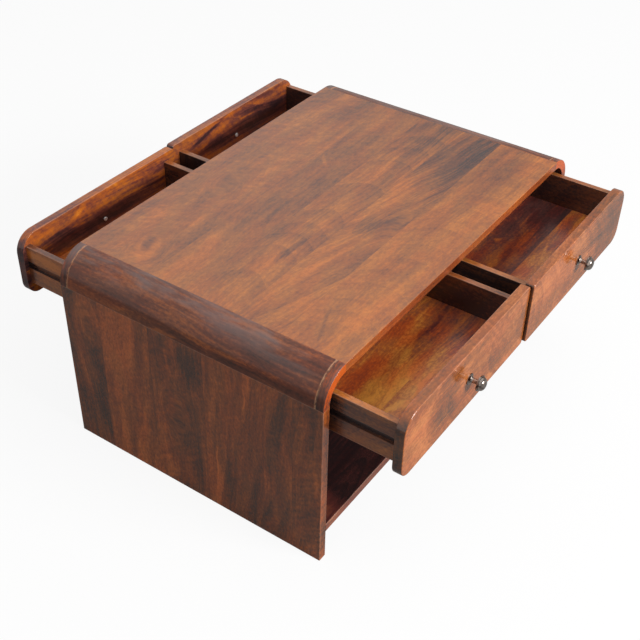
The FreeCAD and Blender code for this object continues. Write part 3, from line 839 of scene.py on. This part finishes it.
def dress_drawer(bay, seed):
    """Boards, knob, screw and pins of one drawer, which takes the seeds from seed on."""
    name = bay + "_drawer_"
    pair, end = bay.split("_")
    outward, inward = ("-X", "+X") if end == "left" else ("+X", "-X")
    face_stains_and_shades = ((outward, OUTER_ENDS[bay]), (inward, INNER_END), ("+Z", FRONT_TOPS[bay]))
    front = Wood("XZ", seed, tones=(FRONT_TONES[bay],), faces=face_stains_and_shades, marks=FRONT_MARKS[bay], **FRONT_WOOD,
                 **FRONT_PAIRS[pair])
    dress_board(name + "front", front)
    dress_side(name + "outer_side", OUTER_SIDES[bay], (outward, inward), seed + 1)
    dress_side(name + "inner_side", INNER_SIDES[bay], (inward, outward), seed + 2)
    dress_board(name + "back", Wood("XZ", seed + 3, wear="YZ"))
    edge, tones = -BOTTOM_EDGE, BOTTOM_TONES[bay]
    if pair == "rear":
        edge, tones = -edge, tones[::-1]
    bottom = Wood("XY", seed + 4, edges=(edge,), tones=tones, marks=BOTTOM_MARKS.get(bay, ()), **BOTTOM_WOOD)
    dress_board(name + "bottom", bottom)
    dress([name + "knob"], metal_material(name + "knob_metal", PEWTER, centre_of(name + "knob")))
    steel = metal_material(name + "screw_steel", STEEL, centre_of(name + "knob_screw"))
    dress([name + "knob_screw", name + "pins"], steel)


# Camera and studio

def add_camera():
    """Camera at the photograph's viewing angle, with its slight roll."""
    azimuth, elevation, roll = (math.radians(a) for a in (CAMERA_AZIMUTH, CAMERA_ELEVATION, CAMERA_ROLL))
    back = Vector((math.sin(azimuth) * math.cos(elevation), -math.cos(azimuth) * math.cos(elevation),
                   math.sin(elevation)))
    level = Vector((math.cos(azimuth), math.sin(azimuth), 0.0))
    upright = back.cross(level)
    right = level * math.cos(roll) + upright * math.sin(roll)
    up = upright * math.cos(roll) - level * math.sin(roll)
    data = bpy.data.cameras.new("camera")
    data.lens = CAMERA_LENS
    data.sensor_width = CAMERA_SENSOR
    camera = bpy.data.objects.new("camera", data)
    place = Vector(CAMERA_TARGET) + back * CAMERA_DISTANCE
    camera.matrix_world = Matrix.Translation(place) @ Matrix((right, up, back)).transposed().to_4x4()
    bpy.context.scene.collection.objects.link(camera)
    bpy.context.scene.camera = camera


def add_lights():
    """Soft area lights, each turned to its aim."""
    for name, place, aim, width, height, power in LIGHTS:
        data = bpy.data.lights.new(name, "AREA")
        data.shape = "RECTANGLE"
        data.size = width
        data.size_y = height
        data.energy = power
        light = bpy.data.objects.new(name, data)
        light.location = place
        light.rotation_euler = (Vector(aim) - Vector(place)).to_track_quat("-Z", "Y").to_euler()
        bpy.context.scene.collection.objects.link(light)


def add_world():
    """White to the camera, in reflections and through clear pieces, and an even ambient light elsewhere."""
    world = bpy.data.worlds.new("studio")
    world.use_nodes = True
    tree = world.node_tree
    tree.nodes.clear()
    mix = tree.nodes.new("ShaderNodeMixShader")
    sheen = fade(tree, tree.nodes.new("ShaderNodeTexCoord").outputs["Generated"], "X", WORLD_SHEEN)
    tree.links.new(ray_share(tree, {**seen(1.0), "Is Glossy Ray": sheen}), mix.inputs[0])
    for index, strength in ((1, AMBIENT_STRENGTH), (2, WHITE_STRENGTH)):
        background = tree.nodes.new("ShaderNodeBackground")
        background.inputs["Color"].default_value = linear(WORLD_COLOUR)
        background.inputs["Strength"].default_value = strength
        tree.links.new(background.outputs[0], mix.inputs[index])
    output = tree.nodes.new("ShaderNodeOutputWorld")
    tree.links.new(mix.outputs[0], output.inputs[0])
    bpy.context.scene.world = world


def seen(share):
    """The same share for rays straight from the camera and for rays through clear pieces."""
    return {"Is Camera Ray": share, "Is Transmission Ray": share}


def ray_share(tree, shares):
    """Socket with the share of each kind of ray, and zero on other rays. A share may be a socket too."""
    path = tree.nodes.new("ShaderNodeLightPath").outputs
    total = None
    for kind, share in shares.items():
        part = tree.nodes.new("ShaderNodeMath")
        part.operation = "MULTIPLY"
        tree.links.new(path[kind], part.inputs[0])
        if isinstance(share, bpy.types.NodeSocket):
            tree.links.new(share, part.inputs[1])
        else:
            part.inputs[1].default_value = share
        if total is None:
            total = part.outputs[0]
            continue
        larger = tree.nodes.new("ShaderNodeMath")
        larger.operation = "MAXIMUM"
        tree.links.new(total, larger.inputs[0])
        tree.links.new(part.outputs[0], larger.inputs[1])
        total = larger.outputs[0]
    return total


def fade(tree, vector, axis, limits):
    """Number that changes along one axis of a vector: the limits are two places and the numbers there."""
    parts = tree.nodes.new("ShaderNodeSeparateXYZ")
    tree.links.new(vector, parts.inputs[0])
    number = tree.nodes.new("ShaderNodeMapRange")
    tree.links.new(parts.outputs[axis], number.inputs[0])
    for index, limit in enumerate(limits, start=1):
        number.inputs[index].default_value = limit
    return number.outputs[0]


def floor_material():
    """Floor that glows nearly white to the camera, and keeps the table's shadow."""
    material = bpy.data.materials.new("floor_paint")
    material.use_nodes = True
    tree = material.node_tree
    shader = tree.nodes["Principled BSDF"]
    paint = tree.nodes.new("ShaderNodeMix")
    paint.data_type = "RGBA"
    tree.links.new(ray_share(tree, seen(1.0)), paint.inputs[0])
    paint.inputs[6].default_value = linear(FLOOR_COLOUR)
    paint.inputs[7].default_value = linear(FLOOR_SEEN_COLOUR)
    tree.links.new(paint.outputs[2], shader.inputs["Base Color"])
    shader.inputs["Roughness"].default_value = FLOOR_ROUGHNESS
    glow = tree.nodes.new("ShaderNodeEmission")
    mix = tree.nodes.new("ShaderNodeMixShader")
    sheen = fade(tree, tree.nodes.new("ShaderNodeNewGeometry").outputs["Position"], "Y", FLOOR_SHEEN)
    tree.links.new(ray_share(tree, {**seen(FLOOR_GLOW), "Is Glossy Ray": sheen}), mix.inputs[0])
    tree.links.new(shader.outputs[0], mix.inputs[1])
    tree.links.new(glow.outputs[0], mix.inputs[2])
    tree.links.new(mix.outputs[0], tree.nodes["Material Output"].inputs[0])
    return material


def add_floor():
    """Large pale floor under the table."""
    half = FLOOR_SIDE / 2
    mesh = bpy.data.meshes.new("floor")
    corners = [(x * half, y * half, -FLOOR_DROP) for x, y in ((-1, -1), (1, -1), (1, 1), (-1, 1))]
    mesh.from_pydata(corners, [], [(0, 1, 2, 3)])
    mesh.materials.append(floor_material())
    floor = bpy.data.objects.new("floor", mesh)
    bpy.context.scene.collection.objects.link(floor)


dress_case()
for number, drawer in enumerate(DRAWERS):
    dress_drawer(drawer, DRAWER_SEED + DRAWER_SEED_STEP * number)
add_camera()
add_lights()
add_world()
add_floor()
bpy.context.scene.view_settings.view_transform = "Standard"
